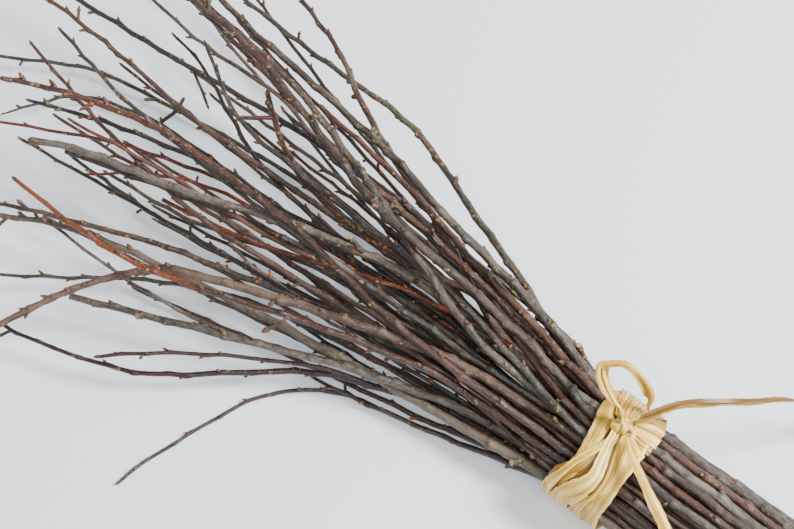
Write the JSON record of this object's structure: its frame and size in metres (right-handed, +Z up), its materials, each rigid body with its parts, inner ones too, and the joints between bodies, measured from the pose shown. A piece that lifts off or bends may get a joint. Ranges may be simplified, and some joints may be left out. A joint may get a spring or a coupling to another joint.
{
  "type": "bundle of twigs",
  "caption": "Bundle of pruned fruit-tree twigs lying on its side, fanned at the tips, cut at the butts and tied near the butts with a raffia wrap, a loop and loose tails.",
  "frame": {"origin": "middle of the flat underside of the raffia tie, on the surface the bundle lies on", "axes": "+Z up; +X along the bundle from the tips to the cut butts; +Y towards the side where the raffia loop leans"},
  "size_m": [0.4324, 0.2317, 0.0798],
  "materials": {
    "bark_grey": "smooth grey bark with buds and pale lenticels",
    "bark_silver": "silvery grey bark, finely cracked",
    "bark_lilac": "lilac-brown satin bark",
    "bark_brown": "brown bark",
    "bark_dark": "near-black brown bark",
    "bark_dark_red": "glossy dark red bark with pale lenticels",
    "bark_red": "rust red bark",
    "bark_red_brown": "red-brown bark with orange lichen",
    "bark_pink": "pinkish bark with fat buds",
    "bark_orange": "glossy orange young bark",
    "bark_olive": "olive-grey bark with green lichen",
    "bark_green": "dark green-grey bark",
    "raffia": "dry, satin, fibrous straw"
  },
  "bodies": {
    "root": {"twig_dark_red_low": "bark_dark_red", "twig_olive_low": "bark_brown", "twig_lichen_spurred": "bark_grey", "twig_cut_lilac": "bark_lilac", "twig_orange_shoot": "bark_orange", "twig_cut_grey_low": "bark_silver", "twig_dark_straight": "bark_green", "twig_lilac_bud": "bark_lilac", "twig_red_orange_low": "bark_red", "twig_dark_budded": "bark_dark", "twig_pink_straight": "bark_pink", "twig_stout_grey": "bark_silver", "twig_cut_grey": "bark_grey", "twig_green_lichened": "bark_olive", "twig_olive_grey": "bark_olive", "twig_thin_dark": "bark_dark", "twig_rust_straight": "bark_red", "twig_brown_steep": "bark_brown", "twig_silver_budded": "bark_silver", "twig_pink_budded": "bark_pink", "twig_lilac_long": "bark_lilac", "twig_dark_far": "bark_dark", "twig_dark_small": "bark_brown", "twig_blur_green": "bark_green", "twig_upper_smooth": "bark_grey", "twig_upper_rough": "bark_lilac", "twig_upper_middle": "bark_grey", "twig_upper_rust": "bark_red_brown", "twig_outer_olive": "bark_olive", "twig_outer_brown": "bark_lilac", "twig_far_red": "bark_red", "twig_far_grey": "bark_grey", "twig_red_brown_right": "bark_red_brown", "twig_orange_lichened": "bark_red_brown", "twig_silver_middle": "bark_silver", "twig_thin_olive": "bark_olive", "twig_blur_grey": "bark_grey", "twig_red_loose": "bark_orange", "twig_inner_01": "bark_brown", "twig_inner_02": "bark_grey", "twig_inner_03": "bark_red_brown", "twig_inner_04": "bark_dark", "twig_inner_05": "bark_lilac", "twig_inner_06": "bark_brown", "twig_inner_07": "bark_grey", "twig_inner_08": "bark_red_brown", "twig_inner_09": "bark_dark", "twig_inner_10": "bark_lilac", "twig_inner_11": "bark_brown", "twig_inner_12": "bark_grey", "twig_inner_13": "bark_red_brown", "twig_inner_14": "bark_dark", "twig_inner_15": "bark_lilac", "twig_inner_16": "bark_brown", "twig_inner_17": "bark_grey", "raffia_wrap": "raffia", "raffia_knot": "raffia", "raffia_loop": "raffia", "raffia_tail_right": "raffia", "raffia_tail_low": "raffia"}
  },
  "joints": []
}
